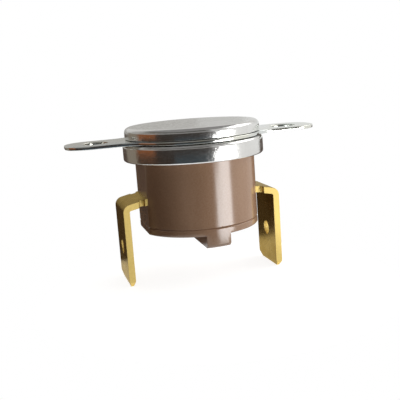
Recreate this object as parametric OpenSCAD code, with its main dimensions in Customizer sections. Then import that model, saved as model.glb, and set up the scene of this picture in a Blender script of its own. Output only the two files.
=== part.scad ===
// Disc thermostat: an aluminium sensing cap crimped over a moulded housing, a loose mounting
// flange captive in the cap's groove, and two blade terminals bent down beside the body.
// Millimetres. The origin is on the axis at the flange's underside, +Z points towards the
// sensing face, and X runs through both terminals.

/* [Sensing cap] */
// Diameter of the crown, the raised face that is held against what is sensed
crown_d = 16.7; // [16.2:0.1:18]
// Height of the crown's face above the flange
crown_h = 1.4; // [1.35:0.05:3]
// Rounding of the crown's upper edge
crown_edge_r = 1; // [0.6:0.05:1.05]
// Rounding of the crown's lower edge, over the flange
bead_r = 0.25; // [0.1:0.05:0.3]
// Diameter of the neck that the flange turns on
neck_d = 14.8; // [14.4:0.1:15.2]
// Height of the collar
collar_h = 2.2; // [1.8:0.1:3.2]
// Rounding of the collar's edges
collar_edge_r = 0.6; // [0.1:0.05:0.7]
// Thickness of the cap's sheet
cap_t = 0.4; // [0.3:0.05:0.45]

/* [Mounting flange] */
// Thickness of the flange's sheet
flange_t = 0.4; // [0.3:0.05:1]
// How far the flange's ring lies inside the collar's edge
ring_inset = 0.2; // [0:0.05:0.5]
// Length over both ears
ears_l = 31.4; // [30.6:0.2:40]
// Width of the ears
ear_w = 6.9; // [6.2:0.1:9]
// Rounding of the ears' corners
ear_r = 2.9; // [1:0.1:3]
// Fillet where an ear meets the ring
ear_fillet_r = 3; // [1:0.1:5]
// Distance between the screw holes
hole_pitch = 24; // [23:0.1:28]
// Diameter of the screw holes
hole_d = 3.2; // [2.6:0.1:3.6]

/* [Housing] */
// Diameter of the body
body_d = 15.1; // [14.8:0.1:15.8]
// Width across the two flats that the terminals leave
flats_w = 13.8; // [13:0.1:14]
// Length from the flange's underside to the base
body_l = 11; // [10.6:0.05:14]
// Width of the shoulder that the collar is crimped over
shoulder_w = 0.72; // [0.4:0.02:1]
// Height of the boss that stands in the cap's neck
boss_h = 0.45; // [0.2:0.05:0.6]
// Diameter of the contact chamber
chamber_d = 11.4; // [11.2:0.1:12]
// Thickness of the ledges that the terminals are riveted to
ledge_t = 2.4; // [1:0.1:3.5]
// Chamfer beside the seam and round the base
edge_chamfer = 0.12; // [0.05:0.01:0.3]

/* [Base cover] */
// Thickness of the cover from the seam to the base
cover_t = 0.85; // [0.6:0.05:1.2]
// Height of the cover's plug in the chamber
plug_h = 0.5; // [0.3:0.05:0.6]
// Width of the rib across the base
rib_w = 3; // [1.5:0.1:5]
// Distance of the rib from the axis, towards the right terminal
rib_x = 0.5; // [0:0.1:1]
// Height of the rib
rib_h = 1.5; // [0.8:0.05:3]
// Chamfer at the rib's ends
rib_chamfer = 0.35; // [0.1:0.05:0.6]

/* [Terminals] */
// Width of the blades
blade_w = 6.3; // [4.8:0.1:6.3]
// Thickness of the blades
blade_t = 0.8; // [0.5:0.1:0.8]
// Distance between the blades' outer faces
blade_span = 19.8; // [19.2:0.1:24]
// Depth of the blades' roots below the flange
root_drop = 6.5; // [5.8:0.1:6.8]
// Depth of the blades' tips below the flange
tip_drop = 17.2; // [15:0.05:22]
// Slope of the stretch between the body and the bend, in degrees
root_slope = 12; // [1:1:14]
// Outer radius of the bend
bend_r = 1; // [0.9:0.05:2.2]
// Distance from the blades' tips to their holes
tip_to_hole = 4.5; // [3.5:0.1:6]
// Diameter of the blades' holes
blade_hole_d = 1.7; // [1.2:0.1:2.2]
// Width of the notches in the blades' edges
notch_w = 0.7; // [0.3:0.05:0.8]
// Depth of the notches
notch_depth = 0.55; // [0.4:0.05:0.9]
// Distance from the body's flat to the notches
notch_gap = 0.3; // [0.2:0.05:0.7]
// Length of the thinned tip
tip_l = 0.8; // [0.4:0.1:1.5]
// Chamfer on each face of the tip
tip_face_chamfer = 0.22; // [0.05:0.01:0.24]
// Chamfer at the tip's corners
tip_corner = 0.6; // [0.2:0.1:1.2]

/* [Switch] */
// Distance from the guide plate's edge to the bimetal disc's
disc_inset = 0.32; // [0.1:0.02:0.5]
// Thickness of the bimetal disc
disc_t = 0.15; // [0.1:0.01:0.2]
// Rise of the disc's dish, which reverses when it snaps over
disc_rise = 0.2; // [0.15:0.01:0.25]
// Room between the disc and the crown's inner face
disc_room = 0.2; // [0.1:0.05:0.3]
// Thickness of the guide plate
guide_t = 0.4; // [0.3:0.05:0.45]
// Width of the guide plate's rim, which carries the disc
guide_rim_w = 0.9; // [0.5:0.05:1.5]
// Diameter of the transfer pin
pin_d = 1.8; // [1.2:0.1:2]
// Gap between the rivets' heads and the chamber's wall
rivet_wall_gap = 0.2; // [0.1:0.05:0.3]
// Diameter of the rivets' shanks
rivet_d = 1.4; // [1:0.1:1.6]
// Diameter of the rivets' heads
rivet_head_d = 2.2; // [1.8:0.1:2.3]
// Height of the rivets' heads
rivet_head_h = 0.4; // [0.2:0.05:0.5]
// Width of the tongues inside the housing
tongue_w = 3.6; // [2.8:0.1:4]
// How far the tongue with the contact reaches past it
contact_tongue_end = 0.1; // [0.05:0.05:0.2]
// How far the tongue with the arm reaches past its rivet's head
arm_tongue_end = 0.3; // [0.1:0.05:0.5]
// Thickness of the contact arm
arm_t = 0.2; // [0.1:0.02:0.3]
// Width of the contact arm
arm_w = 2.8; // [2:0.1:3.4]
// Length of the arm's step down to the contacts
arm_step_l = 1.4; // [0.8:0.1:1.8]
// Gap between the contacts and the rivet's head
contact_rivet_gap = 0.2; // [0.1:0.05:0.3]
// Diameter of the contacts
contact_d = 1.7; // [1.4:0.1:1.8]
// Height of each contact above its carrier
contact_h = 0.4; // [0.25:0.05:0.5]
// Diameter of the contacts' shanks
contact_shank_d = 0.9; // [0.6:0.1:1]

/* [Clearances] */
// Play of the flange in the cap's groove, above and below
flange_play = 0.06; // [0.03:0.01:0.15]
// Radial clearance of the flange on the neck
flange_clear = 0.08; // [0.03:0.01:0.1]
// Radial clearance of the pin in its bores
pin_clear = 0.06; // [0.02:0.01:0.1]
// Gap at each end of the pin
pin_gap = 0.03; // [0.01:0.01:0.05]
// Clearance between pieces that are fitted together
seat_gap = 0.03; // [0.01:0.01:0.05]

/* [Hidden] */
$fn = 96;
// Facets of the disc's large arcs, and an overshoot for cuts
arc_fn = 1440;
cut = 1;
// How far the ears' fillets bite into the ring, so that the arcs cross and don't just touch
fillet_bite = 0.01;

// Levels of the cap
crown_z = flange_t + crown_h;
bead_z = flange_t + flange_play;
shoulder_z = -flange_play;
collar_z = shoulder_z - collar_h;
crown_in_z = crown_z - cap_t;
bead_in_z = bead_z + cap_t;
shoulder_in_z = shoulder_z - cap_t;
lip_z = collar_z + cap_t;

// Radii of the cap, and of the housing's parts that it holds
crown_in_r = crown_d / 2 - cap_t;
neck_in_r = neck_d / 2 - cap_t;
boss_r = neck_in_r - seat_gap;
lip_r = body_d / 2 + seat_gap;
shoulder_r = body_d / 2 + shoulder_w;
collar_in_r = shoulder_r + seat_gap;
collar_r = collar_in_r + cap_t;
ring_r = collar_r - ring_inset;

// Levels of the housing, the cover and what lies between
boss_z = shoulder_in_z + boss_h;
base_z = -body_l;
seam_z = base_z + cover_t;
ceiling_z = -root_drop;
ledge_z = ceiling_z + ledge_t;
tongue_z = ceiling_z - blade_t;
arm_z = tongue_z - 2 * contact_h;

// The disc, its seat and the pin
seat_z = crown_in_z - disc_room - disc_t - disc_rise;
disc_r = boss_r - disc_inset;
dish_r = (pow(disc_r, 2) + pow(disc_rise, 2)) / (2 * disc_rise);
pin_top_z = seat_z + disc_rise - pin_gap;
pin_bottom_z = arm_z + pin_gap;

// The blade: where it widens, its kink at the flat, and the centre of its bend
blade_x = blade_span / 2;
wide_x = sqrt(pow(chamber_d / 2, 2) - pow(tongue_w / 2, 2));
kink_x = flats_w / 2;
slope_normal = [sin(root_slope), cos(root_slope)];
bend_centre = [blade_x - bend_r,
               ceiling_z - (bend_r + slope_normal[0] * (blade_x - bend_r - kink_x)) / slope_normal[1]];

// Places along X inside the chamber: rivets, contacts and the tongues' inner ends
rivet_x = chamber_d / 2 - rivet_wall_gap - rivet_head_d / 2;
contact_x = rivet_x - (rivet_head_d + contact_d) / 2 - contact_rivet_gap;
contact_tongue_x = contact_x - contact_d / 2 - contact_tongue_end;
arm_tongue_x = rivet_x - rivet_head_d / 2 - arm_tongue_end;

// The arm: its root end past the rivet and its free end
arm_end_x = -rivet_x - rivet_head_d / 2 + arm_t;
arm_tip_x = contact_x + contact_d / 2;

// A disc or ring profile's corner rounding: a square from the axis with round outer corners
module round_edged(r, z0, z1, low_r, high_r) {
    difference() {
        translate([0, z0]) square([r, z1 - z0]);
        outer_corner(r, z0, low_r, 1);
        outer_corner(r, z1, high_r, -1);
    }
}

// What a rounding takes off an outer corner; side is 1 for a lower corner, -1 for an upper one
module outer_corner(r, z, round_r, side) {
    difference() {
        translate([r - round_r, side > 0 ? z : z - round_r]) square(round_r);
        translate([r - round_r, z + side * round_r]) circle(r = round_r);
    }
}

module sensing_cap() {
    color("silver") rotate_extrude() difference() {
        union() {
            round_edged(crown_d / 2, bead_z, crown_z, bead_r, crown_edge_r);
            translate([0, shoulder_z - cap_t]) square([neck_d / 2, bead_z - shoulder_z + 2 * cap_t]);
            round_edged(collar_r, collar_z, shoulder_z, collar_edge_r, collar_edge_r);
        }
        difference() {
            translate([0, bead_in_z]) square([crown_in_r, crown_in_z - bead_in_z]);
            outer_corner(crown_in_r, crown_in_z, crown_edge_r - cap_t, -1);
        }
        translate([0, shoulder_in_z]) square([neck_in_r, crown_in_z - shoulder_in_z]);
        translate([0, lip_z]) square([collar_in_r, shoulder_in_z - lip_z]);
        translate([0, collar_z - cut]) square([lip_r, collar_h]);
    }
}

// One ear with its two fillets, along +X
module ear() {
    tip_x = ears_l / 2;
    fillet_y = ear_w / 2 + ear_fillet_r;
    fillet_x = sqrt(pow(ring_r + ear_fillet_r - fillet_bite, 2) - pow(fillet_y, 2));
    translate([0, -ear_w / 2]) square([tip_x - ear_r, ear_w]);
    translate([0, -ear_w / 2 + ear_r]) square([tip_x, ear_w - 2 * ear_r]);
    for (side = [0, 1]) mirror([0, side]) {
        translate([tip_x - ear_r, ear_w / 2 - ear_r]) circle(r = ear_r);
        difference() {
            polygon([[0, 0], [fillet_x, 0], [fillet_x, fillet_y]]);
            translate([fillet_x, fillet_y]) circle(r = ear_fillet_r);
        }
    }
}

module mounting_flange() {
    color("lightsteelblue") linear_extrude(flange_t) difference() {
        union() {
            circle(r = ring_r);
            ear();
            mirror([1, 0]) ear();
        }
        circle(r = neck_d / 2 + flange_clear);
        for (side = [-1, 1]) translate([side * hole_pitch / 2, 0]) circle(d = hole_d);
    }
}

module bimetal_disc() {
    color("slategray") translate([0, 0, seat_z + disc_rise]) rotate_extrude() intersection() {
        translate([0, -2 * disc_rise]) square([disc_r, 2 * disc_rise + 2 * disc_t]);
        difference() {
            translate([0, -dish_r]) circle(r = dish_r + disc_t, $fn = arc_fn);
            translate([0, -dish_r]) circle(r = dish_r, $fn = arc_fn);
        }
    }
}

module pin_guide_plate() {
    color("saddlebrown") difference() {
        translate([0, 0, boss_z]) cylinder(h = seat_z - boss_z, r = boss_r);
        translate([0, 0, boss_z + guide_t]) cylinder(h = seat_z, r = boss_r - guide_rim_w);
        pin_bore();
    }
}

module pin_bore() {
    translate([0, 0, base_z]) cylinder(h = crown_z - base_z, r = pin_d / 2 + pin_clear);
}

// A straight pin with a rounded lower end that rolls on the contact arm
module transfer_pin() {
    end_z = pin_bottom_z + pin_d / 2;
    color("ivory") {
        translate([0, 0, end_z]) cylinder(h = pin_top_z - end_z, d = pin_d);
        translate([0, 0, end_z]) sphere(d = pin_d);
    }
}

// A round bar on the axis between two levels, chamfered at its lower and upper edges
module chamfered_bar(r, z0, z1, low, high) {
    rotate_extrude()
        polygon([[0, z0], [r - low, z0], [r, z0 + low], [r, z1 - high], [r - high, z1], [0, z1]]);
}

// The body's outline between two levels, with its two flats
module body_bar(z0, z1) {
    intersection() {
        chamfered_bar(body_d / 2, z0, z1, edge_chamfer, edge_chamfer);
        translate([-flats_w / 2, -body_d, z0]) cube([flats_w, 2 * body_d, z1 - z0]);
    }
}

module housing() {
    color("rosybrown") difference() {
        union() {
            translate([0, 0, shoulder_in_z]) cylinder(h = boss_h, r = boss_r);
            translate([0, 0, lip_z]) cylinder(h = shoulder_in_z - lip_z, r = shoulder_r);
            body_bar(seam_z, shoulder_in_z);
        }
        translate([0, 0, seam_z - cut]) cylinder(h = ceiling_z - seam_z + cut, d = chamber_d);
        pin_bore();
        for (side = [-1, 1]) {
            translate([side * rivet_x, 0, 0]) rivet_seat();
            mirror([side < 0 ? 1 : 0, 0, 0]) blade_slot();
        }
    }
}

// A pocket for a rivet's upper head, open under the guide plate, and the shank's hole
module rivet_seat() {
    translate([0, 0, ledge_z]) cylinder(h = boss_z - ledge_z + cut, d = rivet_head_d + 2 * seat_gap);
    translate([0, 0, ceiling_z - cut]) cylinder(h = ledge_t + 2 * cut, d = rivet_d + 2 * seat_gap);
}

module blade_slot() {
    slot_w = blade_w + 2 * seat_gap;
    translate([wide_x - seat_gap, -slot_w / 2, tongue_z - seat_gap])
        cube([flats_w, slot_w, blade_t + seat_gap]);
}

module base_cover() {
    color("rosybrown") {
        body_bar(base_z, seam_z);
        translate([0, 0, seam_z]) cylinder(h = plug_h, d = chamber_d - 2 * seat_gap);
        rib();
    }
}

// A rib right across the base, flush with the body and chamfered at both ends
module rib() {
    rib_z = base_z - rib_h;
    intersection() {
        chamfered_bar(body_d / 2, rib_z, seam_z, rib_chamfer, edge_chamfer);
        translate([rib_x - rib_w / 2, -body_d, rib_z]) cube([rib_w, 2 * body_d, rib_h + cover_t]);
    }
}

// Side view of the corner that a blade wraps: root, slope, bend and drop, inset from its outer face
module blade_outline(inset) {
    face_x = blade_x - inset;
    root_z = ceiling_z - inset;
    start_x = wide_x - inset;
    end_z = -tip_drop - inset;
    polygon([[start_x, end_z], [face_x, end_z], [face_x, bend_centre[1]], bend_centre,
             bend_centre + (bend_r - inset) * slope_normal,
             [kink_x - inset * tan(root_slope / 2), root_z], [start_x, root_z]]);
    translate(bend_centre) circle(r = bend_r - inset);
}

// Side view of a blade outside the chamber, with both faces of its tip chamfered
module blade_profile() {
    difference() {
        blade_outline(0);
        blade_outline(blade_t);
        translate([blade_x, -tip_drop])
            polygon([[-tip_face_chamfer, 0], [0, -cut], [cut, tip_l], [0, tip_l]]);
        translate([blade_x - blade_t, -tip_drop])
            polygon([[tip_face_chamfer, 0], [0, tip_l], [-cut, tip_l], [0, -cut]]);
    }
}

// One blade on the +X side, with its tongue reaching in to inner_x
module blade(inner_x) {
    difference() {
        union() {
            rotate([90, 0, 0]) translate([0, 0, -blade_w / 2]) linear_extrude(blade_w) blade_profile();
            translate([inner_x, -tongue_w / 2, tongue_z]) cube([wide_x - inner_x, tongue_w, blade_t]);
        }
        for (side = [0, 1]) mirror([0, side, 0]) {
            notch();
            tip_corner_cut();
        }
        translate([blade_x - blade_t - cut, 0, tip_to_hole - tip_drop]) rotate([0, 90, 0])
            cylinder(h = blade_t + 2 * cut, d = blade_hole_d);
        translate([rivet_x, 0, tongue_z - cut]) cylinder(h = blade_t + 2 * cut, d = rivet_d + 2 * seat_gap);
    }
}

// A round-ended notch in the blade's +Y edge, just outside the body
module notch() {
    end_y = blade_w / 2 - notch_depth + notch_w / 2;
    notch_h = 2 * blade_t + cut;
    translate([kink_x + notch_gap, end_y, tongue_z - blade_t]) {
        translate([notch_w / 2, 0, 0]) cylinder(h = notch_h, d = notch_w);
        cube([notch_w, notch_depth, notch_h]);
    }
}

// What the chamfer takes off the tip's +Y corner
module tip_corner_cut() {
    translate([blade_x - blade_t - cut, 0, -tip_drop]) rotate([90, 0, 90]) linear_extrude(blade_t + 2 * cut)
        polygon([[blade_w / 2 - tip_corner, 0], [blade_w / 2 + cut, -cut], [blade_w / 2, tip_corner]]);
}

module left_terminal() {
    color("goldenrod") mirror([1, 0, 0]) blade(arm_tongue_x);
}

module right_terminal() {
    color("goldenrod") difference() {
        blade(contact_tongue_x);
        translate([contact_x, 0, tongue_z - cut])
            cylinder(h = blade_t + 2 * cut, d = contact_shank_d + 2 * seat_gap);
    }
}

// A rivet through a ledge and whatever lies under it, from head_z up
module rivet(head_z) {
    translate([0, 0, head_z - rivet_head_h]) cylinder(h = rivet_head_h, d = rivet_head_d);
    translate([0, 0, head_z]) cylinder(h = ledge_z - head_z, d = rivet_d);
    translate([0, 0, ledge_z]) cylinder(h = rivet_head_h, d = rivet_head_d);
}

module left_rivet() {
    color("gold") translate([-rivet_x, 0, 0]) rivet(tongue_z - arm_t);
}

module right_rivet() {
    color("gold") translate([rivet_x, 0, 0]) rivet(tongue_z);
}

// A leaf clamped under the left tongue, stepped down to the level of the closed contacts
module contact_arm() {
    step_x = -arm_tongue_x + arm_step_l;
    color("peru") difference() {
        intersection() {
            rotate([90, 0, 0]) translate([0, 0, -arm_w / 2]) linear_extrude(arm_w)
                polygon([[arm_end_x, tongue_z - arm_t], [-arm_tongue_x - arm_t / 2, tongue_z - arm_t],
                         [step_x - arm_t / 2, arm_z - arm_t], [arm_tip_x, arm_z - arm_t], [arm_tip_x, arm_z],
                         [step_x, arm_z], [-arm_tongue_x, tongue_z], [arm_end_x, tongue_z]]);
            translate([0, 0, arm_z - cut]) linear_extrude(tongue_z - arm_z + 2 * cut) {
                translate([arm_end_x, -arm_w / 2]) square([arm_tip_x - arm_w / 2 - arm_end_x, arm_w]);
                translate([arm_tip_x - arm_w / 2, 0]) circle(d = arm_w);
            }
        }
        translate([-rivet_x, 0, tongue_z - arm_t - cut]) cylinder(h = arm_t + 2 * cut, d = rivet_d + 2 * seat_gap);
        translate([contact_x, 0, arm_z - arm_t - cut])
            cylinder(h = arm_t + 2 * cut, d = contact_shank_d + 2 * seat_gap);
    }
}

// A contact rivet set in the arm, with its head up and its lower end spread
module moving_contact() {
    color("white") translate([contact_x, 0, arm_z]) {
        cylinder(h = contact_h, d = contact_d);
        translate([0, 0, -arm_t]) cylinder(h = arm_t, d = contact_shank_d);
        translate([0, 0, -2 * arm_t]) cylinder(h = arm_t, d = (contact_d + contact_shank_d) / 2);
    }
}

// A contact rivet set flush in the right tongue, with its head down
module fixed_contact() {
    color("white") translate([contact_x, 0, tongue_z]) {
        translate([0, 0, -contact_h]) cylinder(h = contact_h, d = contact_d);
        cylinder(h = blade_t, d = contact_shank_d);
    }
}

sensing_cap();
mounting_flange();
bimetal_disc();
pin_guide_plate();
transfer_pin();
housing();
base_cover();
left_terminal();
right_terminal();
left_rivet();
right_rivet();
contact_arm();
moving_contact();
fixed_contact();
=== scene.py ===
"""Looks of the disc thermostat: finishes, eased edges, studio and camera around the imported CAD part."""

import math

import bmesh
import bpy
from mathutils import Matrix, Vector


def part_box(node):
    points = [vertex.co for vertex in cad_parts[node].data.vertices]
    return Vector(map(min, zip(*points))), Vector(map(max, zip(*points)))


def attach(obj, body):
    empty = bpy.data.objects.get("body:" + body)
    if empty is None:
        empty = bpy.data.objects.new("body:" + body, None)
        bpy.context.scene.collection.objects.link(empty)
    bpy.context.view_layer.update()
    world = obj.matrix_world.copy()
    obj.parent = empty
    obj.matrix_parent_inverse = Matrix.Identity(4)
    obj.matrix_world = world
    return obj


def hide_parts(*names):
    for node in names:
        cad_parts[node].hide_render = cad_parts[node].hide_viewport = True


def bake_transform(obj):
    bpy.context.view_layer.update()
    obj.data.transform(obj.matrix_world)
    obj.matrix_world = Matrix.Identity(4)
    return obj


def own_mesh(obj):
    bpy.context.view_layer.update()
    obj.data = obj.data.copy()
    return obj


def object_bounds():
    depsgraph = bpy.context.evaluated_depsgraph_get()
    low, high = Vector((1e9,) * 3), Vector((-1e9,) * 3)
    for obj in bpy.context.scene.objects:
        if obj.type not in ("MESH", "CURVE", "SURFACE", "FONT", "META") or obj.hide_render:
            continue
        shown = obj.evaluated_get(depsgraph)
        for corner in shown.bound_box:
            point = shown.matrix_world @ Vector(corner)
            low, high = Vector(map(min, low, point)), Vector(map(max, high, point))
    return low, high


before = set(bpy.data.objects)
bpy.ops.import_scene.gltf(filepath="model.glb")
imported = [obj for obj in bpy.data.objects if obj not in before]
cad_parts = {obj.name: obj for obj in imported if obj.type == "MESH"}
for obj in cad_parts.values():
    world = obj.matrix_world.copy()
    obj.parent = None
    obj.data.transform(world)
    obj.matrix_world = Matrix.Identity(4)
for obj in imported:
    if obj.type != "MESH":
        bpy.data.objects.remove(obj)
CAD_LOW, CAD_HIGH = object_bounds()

MM = 0.001

# Camera, fitted to the photograph: angles in degrees, lengths in millimetres
CAMERA_AZIMUTH = -14.56
CAMERA_ELEVATION = 10.78
CAMERA_ROLL = 4.15
CAMERA_DISTANCE = 87.67
CAMERA_TARGET = (0.42, 0.0, -8.03)
CAMERA_FOCAL_PIXELS = 691.92
PICTURE_PIXELS = 400
SENSOR_WIDTH = 36.0

# Easing of the stamped and moulded edges
FLANGE_EDGE = 0.06 * MM
BLADE_EDGE = 0.05 * MM
MOULD_EDGE = 0.04 * MM
EDGE_SEGMENTS = 2
SHARP_ANGLE = math.radians(32)

# Triangles that lie this flat together are one face, and points this close are one point
FLAT_ANGLE = math.radians(0.4)
WELD = 0.0005 * MM

# A face is level when the upright part of its direction is more than this
LEVEL_FACE = 0.9999

# The spun cap in millimetres: radii, levels and outer roundings of the sheet's outside, and its thickness
SHEET = 0.4
CROWN_RADIUS = 8.35
CROWN_TOP = 1.8
CROWN_FOOT = 0.46
CROWN_ROUNDING = 0.6
CROWN_FOOT_ROUNDING = 0.08
NECK_RADIUS = 7.4
NECK_ROUNDING = 0.12
COLLAR_RADIUS = 8.7
COLLAR_TOP = -0.06
COLLAR_FOOT = -2.26
COLLAR_ROUNDING = 0.5
COLLAR_FOOT_ROUNDING = 0.25
MOUTH_RADIUS = 7.58

# Its section as corners of (radius, level, rounding), along the outside and back along the inside
CAP_SECTION = (
    (0.0, CROWN_TOP, 0.0),
    (CROWN_RADIUS, CROWN_TOP, CROWN_ROUNDING),
    (CROWN_RADIUS, CROWN_FOOT, CROWN_FOOT_ROUNDING),
    (NECK_RADIUS, CROWN_FOOT, NECK_ROUNDING),
    (NECK_RADIUS, COLLAR_TOP, NECK_ROUNDING),
    (COLLAR_RADIUS, COLLAR_TOP, COLLAR_ROUNDING),
    (COLLAR_RADIUS, COLLAR_FOOT, COLLAR_FOOT_ROUNDING),
    (MOUTH_RADIUS, COLLAR_FOOT, 0.06),
    (MOUTH_RADIUS, COLLAR_FOOT + SHEET, 0.04),
    (COLLAR_RADIUS - SHEET, COLLAR_FOOT + SHEET, 0.1),
    (COLLAR_RADIUS - SHEET, COLLAR_TOP - SHEET, 0.2),
    (NECK_RADIUS - SHEET, COLLAR_TOP - SHEET, 0.1),
    (NECK_RADIUS - SHEET, CROWN_FOOT + SHEET, 0.06),
    (CROWN_RADIUS - SHEET, CROWN_FOOT + SHEET, 0.04),
    (CROWN_RADIUS - SHEET, CROWN_TOP - SHEET, 0.3),
    (0.0, CROWN_TOP - SHEET, 0.0),
)
CAP_TURNS = 192
ARC_STEP = math.radians(9)

# The studio's floor, the light of its room, and the flat strips that a curved screen is made of
FLOOR_RADIUS = 21.0 * MM
FLOOR_FORWARD = 8.0 * MM
FLOOR_DROP = 0.02 * MM
FLOOR_LIFT = 0.86
FLOOR_SEGMENTS = 96
FLOOR_PAPER = (0.5, 0.5, 0.495, 1.0)
ROOM_LEVEL = 0.42
SCREEN_STEPS = 12

# The screens stand round the object. Sides are azimuths in degrees, front 0 and right 90;
# levels are elevations in degrees
SCREEN_DISTANCE = 0.3
POST_DISTANCE = 0.28
WINDOW = (20.0, 57.0)
RIGHT = (57.0, 122.0)
FRONT = (-76.0, 20.0)
LEFT = (-116.0, -76.0)
CORNER = (-148.0, -116.0)
BACK = (122.0, 212.0)
LOWEST = -40.0
HIGHEST = 58.0

# Each screen's name, sides, levels and glow
SCREENS = (
    ("window_lintel", WINDOW, (11.0, HIGHEST), (0.62, 0.615, 0.6)),
    ("right_wall", RIGHT, (LOWEST, 26.0), (0.88, 0.875, 0.86)),
    ("right_window", RIGHT, (26.0, HIGHEST), (2.4, 2.39, 2.36)),
    ("front_floor", (-44.0, 20.0), (LOWEST, -5.0), (0.052, 0.066, 0.075)),
    ("front_corner_floor", (-76.0, -44.0), (LOWEST, -5.0), (0.04, 0.03, 0.024)),
    ("front_wall", FRONT, (-5.0, 11.0), (0.045, 0.037, 0.032)),
    ("front_band", FRONT, (11.0, 30.0), (0.3, 0.295, 0.285)),
    ("front_upper", FRONT, (30.0, HIGHEST), (0.08, 0.075, 0.07)),
    ("left_floor", LEFT, (LOWEST, -4.0), (0.06, 0.04, 0.028)),
    ("left_wall", LEFT, (-4.0, 11.0), (0.26, 0.095, 0.038)),
    ("left_band", LEFT, (11.0, 30.0), (0.36, 0.345, 0.325)),
    ("left_upper", LEFT, (30.0, HIGHEST), (0.16, 0.14, 0.12)),
    ("corner_wall", CORNER, (LOWEST, 11.0), (0.25, 0.215, 0.17)),
    ("corner_upper", CORNER, (11.0, HIGHEST), (0.45, 0.44, 0.42)),
    ("back_floor", BACK, (LOWEST, -2.0), (0.09, 0.065, 0.05)),
    ("back_left", (165.0, 212.0), (-2.0, 12.0), (0.42, 0.41, 0.385)),
    ("back_middle", (160.0, 165.0), (-2.0, 12.0), (0.56, 0.56, 0.54)),
    ("back_right", (122.0, 160.0), (-2.0, 12.0), (0.78, 0.785, 0.77)),
    ("back_upper", BACK, (12.0, HIGHEST), (0.7, 0.69, 0.67)),
)

# The level below which a terminal hangs down as a blade
BLADE_TOP = -8.0 * MM

# The number of slices that the contact arm is cut into along its length
ARM_SLICES = 40


# Small helpers for the finishes' nodes

def new_finish(name):
    """A new material with its tree, its shader and the piece's own coordinates."""
    finish = bpy.data.materials.new(name)
    finish.use_nodes = True
    tree = finish.node_tree
    tree.nodes.clear()
    output = tree.nodes.new("ShaderNodeOutputMaterial")
    shader = tree.nodes.new("ShaderNodeBsdfPrincipled")
    tree.links.new(shader.outputs["BSDF"], output.inputs["Surface"])
    coordinates = tree.nodes.new("ShaderNodeTexCoord")
    return finish, tree, shader, coordinates


def stretched(tree, place, scale):
    """The coordinates scaled differently along X, Y and Z, so that a pattern runs in lines."""
    mapping = tree.nodes.new("ShaderNodeMapping")
    mapping.inputs["Scale"].default_value = scale
    tree.links.new(place, mapping.inputs["Vector"])
    return mapping.outputs["Vector"]


def noise(tree, place, scale, detail=3.0, roughness=0.5, distortion=0.0):
    """A cloudy pattern; its scale counts patches per metre."""
    node = tree.nodes.new("ShaderNodeTexNoise")
    node.inputs["Scale"].default_value = scale
    node.inputs["Detail"].default_value = detail
    node.inputs["Roughness"].default_value = roughness
    node.inputs["Distortion"].default_value = distortion
    tree.links.new(place, node.inputs["Vector"])
    return node.outputs["Fac"]


def ramp(tree, value, *stops):
    """A colour ramp with stops of (place, colour)."""
    node = tree.nodes.new("ShaderNodeValToRGB")
    elements = node.color_ramp.elements
    while len(elements) < len(stops):
        elements.new(0.5)
    for element, (place, colour) in zip(elements, stops):
        element.position = place
        element.color = (*colour, 1.0)
    tree.links.new(value, node.inputs["Fac"])
    return node.outputs["Color"]


def spread(tree, value, low, high, start=0.3, end=0.7):
    """The value from start to end, spread over low to high."""
    node = tree.nodes.new("ShaderNodeMapRange")
    node.interpolation_type = "SMOOTHSTEP"
    node.inputs["From Min"].default_value = start
    node.inputs["From Max"].default_value = end
    node.inputs["To Min"].default_value = low
    node.inputs["To Max"].default_value = high
    tree.links.new(value, node.inputs["Value"])
    return node.outputs["Result"]


def mixed(tree, share, first, second):
    """One colour over another, by share."""
    node = tree.nodes.new("ShaderNodeMix")
    node.data_type = "RGBA"
    tree.links.new(share, node.inputs[0])
    tree.links.new(first, node.inputs[6])
    tree.links.new(second, node.inputs[7])
    return node.outputs[2]


def calculated(tree, operation, first, second):
    """Two values joined by a sum, product or the like; the second may be a plain number."""
    node = tree.nodes.new("ShaderNodeMath")
    node.operation = operation
    tree.links.new(first, node.inputs[0])
    if isinstance(second, (int, float)):
        node.inputs[1].default_value = second
    else:
        tree.links.new(second, node.inputs[1])
    return node.outputs[0]


def roughened(tree, shader, height, strength, depth):
    """Gives the shader a bump of that depth."""
    node = tree.nodes.new("ShaderNodeBump")
    node.inputs["Strength"].default_value = strength
    node.inputs["Distance"].default_value = depth
    tree.links.new(height, node.inputs["Height"])
    tree.links.new(node.outputs["Normal"], shader.inputs["Normal"])


def facing(tree, coordinates, axis):
    """How squarely a face looks along one of the part's axes, either way."""
    split = tree.nodes.new("ShaderNodeSeparateXYZ")
    tree.links.new(coordinates.outputs["Normal"], split.inputs["Vector"])
    size = tree.nodes.new("ShaderNodeMath")
    size.operation = "ABSOLUTE"
    tree.links.new(split.outputs[axis], size.inputs[0])
    return size.outputs[0]


# Finishes

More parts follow.
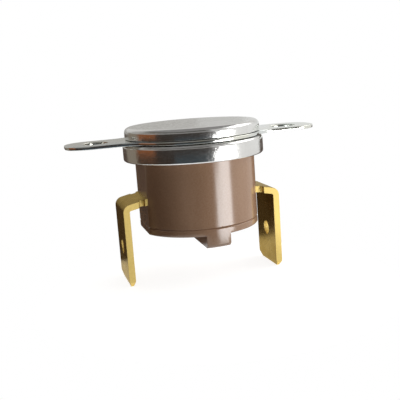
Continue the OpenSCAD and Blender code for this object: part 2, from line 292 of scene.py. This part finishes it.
def drawn_aluminium():
    """Bright drawn sheet: smooth on its face, grained on its sides, with soft cloudy patches."""
    finish, tree, shader, coordinates = new_finish("drawn_aluminium")
    place = coordinates.outputs["Object"]
    clouds = noise(tree, place, scale=190.0, detail=4.0, roughness=0.55)
    lines = noise(tree, stretched(tree, place, (1.0, 1.0, 0.06)), scale=2600.0, detail=2.0)
    grain = noise(tree, place, scale=4200.0, detail=2.0, roughness=0.6)
    shade = calculated(tree, "ADD", calculated(tree, "MULTIPLY", clouds, 0.7),
                       calculated(tree, "MULTIPLY", lines, 0.3))
    tree.links.new(ramp(tree, shade, (0.3, (0.72, 0.715, 0.70)), (0.52, (0.78, 0.78, 0.77)),
                        (0.72, (0.83, 0.835, 0.83))), shader.inputs["Base Color"])
    level = facing(tree, coordinates, "Z")
    satin = spread(tree, level, low=0.0, high=0.04, start=0.9, end=0.995)
    gloss = calculated(tree, "ADD", spread(tree, grain, low=0.14, high=0.24), satin)
    tree.links.new(gloss, shader.inputs["Roughness"])
    shader.inputs["Metallic"].default_value = 1.0
    drawn = spread(tree, level, low=1.0, high=0.1, start=0.75, end=0.98)
    relief = calculated(tree, "ADD", grain, calculated(tree, "MULTIPLY", lines, 0.5))
    roughened(tree, shader, calculated(tree, "MULTIPLY", relief, drawn), strength=0.5, depth=0.014 * MM)
    return finish


def zinc_plating():
    """Plated steel: a pale film that turns from blue to straw, over a rolled surface."""
    finish, tree, shader, coordinates = new_finish("zinc_plating")
    place = coordinates.outputs["Object"]
    film = noise(tree, place, scale=130.0, detail=3.0, roughness=0.5, distortion=0.8)
    rolled = noise(tree, stretched(tree, place, (0.08, 1.0, 1.0)), scale=2400.0, detail=2.0)
    grain = noise(tree, place, scale=3600.0, detail=2.0, roughness=0.6)
    tree.links.new(ramp(tree, film, (0.3, (0.68, 0.74, 0.75)), (0.45, (0.76, 0.785, 0.775)),
                        (0.57, (0.77, 0.77, 0.70)), (0.7, (0.71, 0.76, 0.72))), shader.inputs["Base Color"])
    tree.links.new(spread(tree, grain, low=0.09, high=0.17), shader.inputs["Roughness"])
    shader.inputs["Metallic"].default_value = 1.0
    roughened(tree, shader, calculated(tree, "ADD", grain, rolled), strength=0.12, depth=0.006 * MM)
    return finish


def moulded_phenolic(name, dark, middle, light):
    """Brown filled phenolic: fine flecks of filler, faint flow lines and a smooth moulded gloss."""
    finish, tree, shader, coordinates = new_finish(name)
    place = coordinates.outputs["Object"]
    flecks = noise(tree, place, scale=5200.0, detail=3.0, roughness=0.7)
    flow = noise(tree, stretched(tree, place, (1.0, 1.0, 0.25)), scale=320.0, detail=4.0, roughness=0.55,
                 distortion=0.6)
    peel = noise(tree, place, scale=900.0, detail=2.0)
    shade = calculated(tree, "ADD", calculated(tree, "MULTIPLY", flecks, 0.55),
                       calculated(tree, "MULTIPLY", flow, 0.45))
    tree.links.new(ramp(tree, shade, (0.34, dark), (0.5, middle), (0.68, light)), shader.inputs["Base Color"])
    tree.links.new(spread(tree, flecks, low=0.13, high=0.22), shader.inputs["Roughness"])
    shader.inputs["IOR"].default_value = 1.6
    relief = calculated(tree, "ADD", peel, calculated(tree, "MULTIPLY", flecks, 0.25))
    roughened(tree, shader, relief, strength=0.06, depth=0.01 * MM)
    return finish


def rolled_brass(name, face_dark, face, face_light, edge, edge_light):
    """Stamped strip: rolled lines on its faces, whose dark brown is painted shade and reflection of the
    housing, and bright metal on its sheared edges.
    """
    finish, tree, shader, coordinates = new_finish(name)
    place = coordinates.outputs["Object"]
    film = noise(tree, place, scale=420.0, detail=4.0, roughness=0.6, distortion=0.4)
    lines = noise(tree, stretched(tree, place, (0.02, 1.0, 0.02)), scale=5200.0, detail=2.0)
    grain = noise(tree, place, scale=3400.0, detail=2.0, roughness=0.6)
    shade = calculated(tree, "ADD", calculated(tree, "MULTIPLY", film, 0.75),
                       calculated(tree, "MULTIPLY", lines, 0.25))
    # The faces' darker colours are painted shade, standing for the housing's dark reflection in them; the
    # sheared edges keep the brass colour
    faces = ramp(tree, shade, (0.32, face_dark), (0.5, face), (0.68, face_light))
    edges = ramp(tree, grain, (0.35, edge), (0.65, edge_light))

    # Sheared all round, but for the blade's two faces and the root's top and bottom
    split = tree.nodes.new("ShaderNodeSeparateXYZ")
    tree.links.new(place, split.inputs["Vector"])
    hanging = spread(tree, split.outputs["Z"], low=1.0, high=0.0, start=BLADE_TOP - 0.5 * MM, end=BLADE_TOP)
    beside_faces = spread(tree, facing(tree, coordinates, "X"), low=1.0, high=0.0, start=0.2, end=0.6)
    sides = spread(tree, facing(tree, coordinates, "Y"), low=0.0, high=1.0, start=0.35, end=0.8)
    cut = calculated(tree, "MAXIMUM", sides, calculated(tree, "MULTIPLY", hanging, beside_faces))
    tree.links.new(mixed(tree, cut, faces, edges), shader.inputs["Base Color"])
    gloss = calculated(tree, "ADD", spread(tree, grain, low=0.24, high=0.34),
                       calculated(tree, "MULTIPLY", cut, 0.36))
    tree.links.new(gloss, shader.inputs["Roughness"])
    shader.inputs["Metallic"].default_value = 1.0
    shader.inputs["Specular Tint"].default_value = (0.82, 0.7, 0.42, 1.0)
    roughened(tree, shader, calculated(tree, "ADD", grain, lines), strength=0.15, depth=0.008 * MM)
    return finish


def plain_metal(name, dark, light, low, high):
    """A small inner piece of metal: rolled or turned lines and a little variation of gloss."""
    finish, tree, shader, coordinates = new_finish(name)
    place = coordinates.outputs["Object"]
    lines = noise(tree, stretched(tree, place, (0.05, 1.0, 1.0)), scale=2800.0, detail=3.0)
    grain = noise(tree, place, scale=2200.0, detail=3.0)
    tree.links.new(ramp(tree, lines, (0.35, dark), (0.65, light)), shader.inputs["Base Color"])
    tree.links.new(spread(tree, grain, low=low, high=high), shader.inputs["Roughness"])
    shader.inputs["Metallic"].default_value = 1.0
    roughened(tree, shader, lines, strength=0.2, depth=0.01 * MM)
    return finish


def matt_ceramic():
    """The pin's unglazed ceramic: a warm white with faint grit."""
    finish, tree, shader, coordinates = new_finish("matt_ceramic")
    place = coordinates.outputs["Object"]
    grit = noise(tree, place, scale=5200.0, detail=3.0, roughness=0.65)
    tree.links.new(ramp(tree, grit, (0.35, (0.70, 0.67, 0.60)), (0.6, (0.80, 0.78, 0.72))),
                   shader.inputs["Base Color"])
    tree.links.new(spread(tree, grit, low=0.5, high=0.68), shader.inputs["Roughness"])
    roughened(tree, shader, grit, strength=0.2, depth=0.01 * MM)
    return finish


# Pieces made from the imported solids

def linked(name, mesh):
    """A new object in the scene."""
    piece = bpy.data.objects.new(name, mesh)
    bpy.context.scene.collection.objects.link(piece)
    return piece


def settle(piece):
    """Turns a piece's modifiers into plain mesh."""
    graph = bpy.context.evaluated_depsgraph_get()
    mesh = bpy.data.meshes.new_from_object(piece.evaluated_get(graph))
    piece.modifiers.clear()
    piece.data = mesh


def smoothed(mesh):
    """Smooth shading with its sharp edges kept."""
    mesh.polygons.foreach_set("use_smooth", [True] * len(mesh.polygons))
    mesh.set_sharp_from_angle(angle=SHARP_ANGLE)
    mesh.update()


def true_faces(piece):
    """Shades wide faces by their own direction, so that a rounding beside one doesn't bend its gloss."""
    piece.data.polygons.foreach_set("use_smooth", [True] * len(piece.data.polygons))
    shading = piece.modifiers.new("true_faces", "WEIGHTED_NORMAL")
    shading.mode = "FACE_AREA"
    shading.keep_sharp = True
    settle(piece)

    # Each corner of a level face takes the face's own direction, so that its gloss is even
    mesh = piece.data
    normals = [tuple(corner.vector) for corner in mesh.corner_normals]
    for polygon in mesh.polygons:
        if abs(polygon.normal.z) > LEVEL_FACE:
            for corner in polygon.loop_indices:
                normals[corner] = tuple(polygon.normal)
    mesh.normals_split_custom_set(normals)


def merged_copy(node_name, flat_angle):
    """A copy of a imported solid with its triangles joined, and flat faces made whole."""
    made = bmesh.new()
    made.from_mesh(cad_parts[node_name].data)
    bmesh.ops.remove_doubles(made, verts=made.verts, dist=WELD)
    bmesh.ops.dissolve_limit(made, angle_limit=flat_angle, verts=made.verts, edges=made.edges)
    mesh = bpy.data.meshes.new(node_name)
    made.to_mesh(mesh)
    made.free()
    mesh.materials.clear()
    return mesh


def eased(node_name, piece_name, body, finish, width):
    """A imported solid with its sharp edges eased, standing for the solid."""
    piece = linked(piece_name, merged_copy(node_name, FLAT_ANGLE))
    bevel = piece.modifiers.new("eased", "BEVEL")
    bevel.width = width
    bevel.segments = EDGE_SEGMENTS
    bevel.limit_method = "ANGLE"
    bevel.angle_limit = SHARP_ANGLE
    bevel.use_clamp_overlap = True
    settle(piece)
    true_faces(piece)
    piece.data.materials.append(finish)
    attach(piece, body)
    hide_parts(node_name)


# The spun cap: its section swept round by Geometry Nodes

def rounded_section(corners):
    """The points of a section whose corners are rounded by arcs; corners on the axis stay."""
    points = []
    count = len(corners)
    for i, (r, z, rounding) in enumerate(corners):
        here = Vector((r, z))
        if rounding == 0.0:
            points.append(here)
            continue
        before = (Vector(corners[i - 1][:2]) - here).normalized()
        after = (Vector(corners[(i + 1) % count][:2]) - here).normalized()
        half = before.angle(after) / 2
        reach = rounding / math.tan(half)
        centre = here + (before + after).normalized() * (rounding / math.sin(half))
        start = here + before * reach - centre
        end = here + after * reach - centre
        sweep = start.angle_signed(end)
        steps = max(2, math.ceil(abs(sweep) / ARC_STEP))
        for k in range(steps + 1):
            turn = Matrix.Rotation(-sweep * k / steps, 2)
            points.append(centre + turn @ start)
    return [(p.x * MM, p.y * MM) for p in points]


def sweep_tree():
    """A node group that turns a section, given as points in the XZ plane, round the Z axis."""
    tree = bpy.data.node_groups.new("spun_sheet", "GeometryNodeTree")
    tree.interface.new_socket("Section", in_out="INPUT", socket_type="NodeSocketGeometry")
    tree.interface.new_socket("Section Points", in_out="INPUT", socket_type="NodeSocketInt")
    tree.interface.new_socket("Turns", in_out="INPUT", socket_type="NodeSocketInt")
    tree.interface.new_socket("Finish", in_out="INPUT", socket_type="NodeSocketMaterial")
    tree.interface.new_socket("Cap", in_out="OUTPUT", socket_type="NodeSocketGeometry")
    nodes = tree.nodes
    link = tree.links.new
    given = nodes.new("NodeGroupInput")
    result = nodes.new("NodeGroupOutput")

    # A sheet one unit square: its X becomes the turn round the axis, its Y the place along the section
    columns = nodes.new("ShaderNodeMath")
    columns.operation = "ADD"
    columns.inputs[1].default_value = 1.0
    link(given.outputs["Turns"], columns.inputs[0])
    sheet = nodes.new("GeometryNodeMeshGrid")
    sheet.inputs["Size X"].default_value = 1.0
    sheet.inputs["Size Y"].default_value = 1.0
    link(columns.outputs[0], sheet.inputs["Vertices X"])
    link(given.outputs["Section Points"], sheet.inputs["Vertices Y"])
    place = nodes.new("GeometryNodeInputPosition")
    split = nodes.new("ShaderNodeSeparateXYZ")
    link(place.outputs[0], split.inputs[0])

    turn = nodes.new("ShaderNodeMath")
    turn.operation = "MULTIPLY"
    turn.inputs[1].default_value = 2.0 * math.pi
    link(split.outputs["X"], turn.inputs[0])
    last = nodes.new("ShaderNodeMath")
    last.operation = "SUBTRACT"
    last.inputs[1].default_value = 1.0
    link(given.outputs["Section Points"], last.inputs[0])
    share = nodes.new("ShaderNodeMath")
    share.operation = "ADD"
    share.inputs[1].default_value = 0.5
    link(split.outputs["Y"], share.inputs[0])
    number = nodes.new("ShaderNodeMath")
    number.operation = "MULTIPLY"
    link(share.outputs[0], number.inputs[0])
    link(last.outputs[0], number.inputs[1])
    whole = nodes.new("ShaderNodeMath")
    whole.operation = "ROUND"
    link(number.outputs[0], whole.inputs[0])

    point = nodes.new("GeometryNodeSampleIndex")
    point.data_type = "FLOAT_VECTOR"
    point.domain = "POINT"
    link(given.outputs["Section"], point.inputs["Geometry"])
    section_place = nodes.new("GeometryNodeInputPosition")
    link(section_place.outputs[0], point.inputs["Value"])
    link(whole.outputs[0], point.inputs["Index"])
    turned = nodes.new("ShaderNodeVectorRotate")
    turned.rotation_type = "Z_AXIS"
    link(point.outputs["Value"], turned.inputs["Vector"])
    link(turn.outputs[0], turned.inputs["Angle"])
    move = nodes.new("GeometryNodeSetPosition")
    link(sheet.outputs["Mesh"], move.inputs["Geometry"])
    link(turned.outputs["Vector"], move.inputs["Position"])

    joined = nodes.new("GeometryNodeMergeByDistance")
    joined.inputs["Distance"].default_value = WELD
    link(move.outputs["Geometry"], joined.inputs["Geometry"])
    real = nodes.new("GeometryNodeRealizeInstances")
    link(joined.outputs["Geometry"], real.inputs["Geometry"])
    dressed = nodes.new("GeometryNodeSetMaterial")
    link(real.outputs["Geometry"], dressed.inputs["Geometry"])
    link(given.outputs["Finish"], dressed.inputs["Material"])
    link(dressed.outputs["Geometry"], result.inputs["Cap"])
    return tree


def spun_cap(finish):
    """The crown, neck and collar in one sheet, spun round the axis."""
    section = rounded_section(CAP_SECTION)
    mesh = bpy.data.meshes.new("spun_cap")
    mesh.from_pydata([(r, 0.0, z) for r, z in section], [], [])
    piece = linked("spun_cap", mesh)
    tree = sweep_tree()
    sweep = piece.modifiers.new("spun", "NODES")
    sweep.node_group = tree
    inputs = {item.name: item.identifier for item in tree.interface.items_tree if item.in_out == "INPUT"}
    sweep[inputs["Section Points"]] = len(section)
    sweep[inputs["Turns"]] = CAP_TURNS
    sweep[inputs["Finish"]] = finish
    settle(piece)
    made = bmesh.new()
    made.from_mesh(piece.data)
    bmesh.ops.remove_doubles(made, verts=made.verts, dist=WELD)
    bmesh.ops.recalc_face_normals(made, faces=made.faces)
    made.to_mesh(piece.data)
    made.free()
    smoothed(piece.data)
    true_faces(piece)
    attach(piece, "case")
    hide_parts("sensing_cap")


# Inner pieces: the contact arm in slices and the bimetal disc

def bending_arm(finish):
    """The contact arm, cut across into slices along its length."""
    piece = linked("bending_arm", merged_copy("contact_arm", FLAT_ANGLE))
    made = bmesh.new()
    made.from_mesh(piece.data)
    low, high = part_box("contact_arm")
    for k in range(1, ARM_SLICES):
        x = low.x + (high.x - low.x) * k / ARM_SLICES
        geometry = made.verts[:] + made.edges[:] + made.faces[:]
        bmesh.ops.bisect_plane(made, geom=geometry, plane_co=(x, 0.0, 0.0), plane_no=(1.0, 0.0, 0.0))
    made.to_mesh(piece.data)
    made.free()
    smoothed(piece.data)
    piece.data.materials.append(finish)
    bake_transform(piece)
    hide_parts("contact_arm")


def snapping_disc(finish):
    """The bimetal disc, a smoothed copy with a mesh of its own, riding with the case."""
    piece = linked("snapping_disc", merged_copy("bimetal_disc", 0.0))
    smoothed(piece.data)
    piece.data.materials.append(finish)
    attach(piece, "case")
    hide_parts("bimetal_disc")
    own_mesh(piece)


def dress(node_name, finish):
    """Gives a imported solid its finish."""
    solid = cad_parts[node_name]
    if not solid.material_slots:
        solid.data.materials.append(finish)
    for held in solid.material_slots:
        held.material = finish


# Studio

def towards(azimuth, elevation):
    """A unit vector from the object; azimuth 0 is the front, and positive azimuths lie to the right."""
    a = math.radians(azimuth)
    e = math.radians(elevation)
    return Vector((math.sin(a) * math.cos(e), -math.cos(a) * math.cos(e), math.sin(e)))


def seen_rays(tree):
    """1 for the rays that show the background: camera, glossy and transmission rays."""
    path = tree.nodes.new("ShaderNodeLightPath")
    seen = calculated(tree, "MAXIMUM", path.outputs["Is Camera Ray"], path.outputs["Is Glossy Ray"])
    return calculated(tree, "MAXIMUM", seen, path.outputs["Is Transmission Ray"])


def make_world():
    """A dim room for the light, and white behind the object."""
    world = bpy.data.worlds.new("studio_room")
    world.use_nodes = True
    tree = world.node_tree
    tree.nodes.clear()
    output = tree.nodes.new("ShaderNodeOutputWorld")
    room = tree.nodes.new("ShaderNodeBackground")
    room.inputs["Color"].default_value = (1.0, 0.99, 0.98, 1.0)
    room.inputs["Strength"].default_value = ROOM_LEVEL
    backdrop = tree.nodes.new("ShaderNodeBackground")
    backdrop.inputs["Color"].default_value = (1.0, 1.0, 1.0, 1.0)
    backdrop.inputs["Strength"].default_value = 1.0
    choice = tree.nodes.new("ShaderNodeMixShader")
    tree.links.new(seen_rays(tree), choice.inputs["Fac"])
    tree.links.new(room.outputs["Background"], choice.inputs[1])
    tree.links.new(backdrop.outputs["Background"], choice.inputs[2])
    tree.links.new(choice.outputs["Shader"], output.inputs["Surface"])
    bpy.context.scene.world = world


def make_floor():
    """A pale round table under the blades' tips."""
    made = bmesh.new()
    bmesh.ops.create_circle(made, cap_ends=True, segments=FLOOR_SEGMENTS, radius=FLOOR_RADIUS)
    mesh = bpy.data.meshes.new("pale_table")
    made.to_mesh(mesh)
    made.free()
    mesh.transform(Matrix.Translation((0.0, -FLOOR_FORWARD, CAD_LOW.z - FLOOR_DROP)))
    floor = linked("pale_table", mesh)
    finish = bpy.data.materials.new("pale_paper")
    finish.use_nodes = True
    tree = finish.node_tree
    tree.nodes.clear()
    output = tree.nodes.new("ShaderNodeOutputMaterial")
    paper = tree.nodes.new("ShaderNodeBsdfDiffuse")
    paper.inputs["Color"].default_value = FLOOR_PAPER
    lift = tree.nodes.new("ShaderNodeEmission")
    tree.links.new(calculated(tree, "MULTIPLY", seen_rays(tree), FLOOR_LIFT), lift.inputs["Strength"])
    both = tree.nodes.new("ShaderNodeAddShader")
    tree.links.new(paper.outputs["BSDF"], both.inputs[0])
    tree.links.new(lift.outputs["Emission"], both.inputs[1])
    tree.links.new(both.outputs["Shader"], output.inputs["Surface"])
    mesh.materials.append(finish)


def make_softbox(name, azimuth, elevation, distance, width, height, radiance):
    """A rectangular lamp facing the object; radiance 1 looks white in a mirror."""
    light = bpy.data.lights.new(name, "AREA")
    light.shape = "RECTANGLE"
    light.size = width
    light.size_y = height
    light.energy = radiance * math.pi * width * height
    lamp = linked(name, light)
    aim = towards(azimuth, elevation)
    lamp.location = aim * distance + Vector(CAMERA_TARGET) * MM
    lamp.rotation_mode = "QUATERNION"
    lamp.rotation_quaternion = aim.to_track_quat("Z", "Y")


def make_screen(name, left, right, low, high, distance, glow):
    """An upright curved screen round the object, hidden from the camera and mirrored in its gloss."""
    made = bmesh.new()
    columns = []
    for k in range(SCREEN_STEPS + 1):
        around = towards(left + (right - left) * k / SCREEN_STEPS, 0.0) * distance
        pair = []
        for elevation in (low, high):
            level = CAMERA_TARGET[2] * MM + distance * math.tan(math.radians(elevation))
            pair.append(made.verts.new((around.x, around.y, level)))
        columns.append(pair)
    for (a, b), (c, d) in zip(columns, columns[1:]):
        made.faces.new((a, c, d, b))
    show_screen(name, made, glow)


def make_ceiling(name, height, size, glow):
    """A level screen over the object."""
    made = bmesh.new()
    bmesh.ops.create_grid(made, x_segments=1, y_segments=1, size=size / 2)
    bmesh.ops.translate(made, verts=made.verts, vec=(0.0, 0.0, height))
    show_screen(name, made, glow)


def show_screen(name, made, glow):
    """Puts a glowing screen in the studio."""
    mesh = bpy.data.meshes.new(name)
    made.to_mesh(mesh)
    made.free()
    screen = linked(name, mesh)
    screen.visible_camera = False
    finish = bpy.data.materials.new(name)
    finish.use_nodes = True
    tree = finish.node_tree
    tree.nodes.clear()
    output = tree.nodes.new("ShaderNodeOutputMaterial")
    light = tree.nodes.new("ShaderNodeEmission")
    light.inputs["Color"].default_value = (*glow, 1.0)
    tree.links.new(light.outputs["Emission"], output.inputs["Surface"])
    mesh.materials.append(finish)


def make_camera():
    """The camera that took the photograph."""
    aim = towards(CAMERA_AZIMUTH, CAMERA_ELEVATION)
    right = Vector((math.cos(math.radians(CAMERA_AZIMUTH)), math.sin(math.radians(CAMERA_AZIMUTH)), 0.0))
    up = aim.cross(right)
    roll = math.radians(CAMERA_ROLL)
    across = right * math.cos(roll) - up * math.sin(roll)
    upward = right * math.sin(roll) + up * math.cos(roll)
    data = bpy.data.cameras.new("camera")
    data.sensor_width = SENSOR_WIDTH
    data.lens = CAMERA_FOCAL_PIXELS * SENSOR_WIDTH / PICTURE_PIXELS
    data.clip_start = 0.005
    camera = linked("camera", data)
    turn = Matrix((across, upward, aim)).transposed().to_4x4()
    eye = (Vector(CAMERA_TARGET) + aim * CAMERA_DISTANCE) * MM
    camera.matrix_world = Matrix.Translation(eye) @ turn
    bpy.context.scene.camera = camera


# Making it all

aluminium = drawn_aluminium()
zinc = zinc_plating()
housing_brown = moulded_phenolic("housing_brown", (0.32, 0.187, 0.112), (0.362, 0.217, 0.134),
                                 (0.404, 0.248, 0.157))
guide_brown = moulded_phenolic("guide_brown", (0.10, 0.055, 0.032), (0.14, 0.08, 0.048), (0.19, 0.11, 0.07))
# The blades' three face colours are darkened as painted shade; the two edge colours are their brass
blade_brass = rolled_brass("blade_brass", (0.27, 0.185, 0.08), (0.34, 0.245, 0.115), (0.41, 0.31, 0.155),
                           (0.78, 0.60, 0.21), (0.86, 0.69, 0.27))
rivet_brass = plain_metal("rivet_brass", (0.58, 0.43, 0.18), (0.72, 0.56, 0.26), 0.24, 0.4)
bronze = plain_metal("arm_bronze", (0.56, 0.34, 0.18), (0.70, 0.45, 0.25), 0.25, 0.38)
silver = plain_metal("contact_silver", (0.72, 0.71, 0.69), (0.86, 0.85, 0.83), 0.2, 0.36)
bimetal = plain_metal("bimetal_steel", (0.44, 0.43, 0.41), (0.58, 0.57, 0.55), 0.26, 0.42)
ceramic = matt_ceramic()

spun_cap(aluminium)
eased("mounting_flange", "stamped_flange", "flange", zinc, FLANGE_EDGE)
eased("housing", "moulded_housing", "case", housing_brown, MOULD_EDGE)
eased("base_cover", "moulded_cover", "case", housing_brown, MOULD_EDGE)
eased("left_terminal", "left_blade", "case", blade_brass, BLADE_EDGE)
eased("right_terminal", "right_blade", "case", blade_brass, BLADE_EDGE)
bending_arm(bronze)
snapping_disc(bimetal)
dress("pin_guide_plate", guide_brown)
dress("transfer_pin", ceramic)
dress("left_rivet", rivet_brass)
dress("right_rivet", rivet_brass)
dress("moving_contact", silver)
dress("fixed_contact", silver)

make_world()
make_floor()
make_softbox("window", azimuth=38.0, elevation=-9.5, distance=0.35, width=0.19, height=0.13, radiance=8.5)
make_screen("window_post", 14.0, 31.0, -7.0, 11.0, POST_DISTANCE, (0.05, 0.042, 0.036))
for screen_name, (left, right), (bottom, top), glow in SCREENS:
    make_screen(screen_name, left, right, bottom, top, SCREEN_DISTANCE, glow)
make_ceiling("dim_ceiling", height=0.3, size=0.5, glow=(0.26, 0.255, 0.25))
make_camera()
bpy.context.scene.view_settings.view_transform = "Standard"
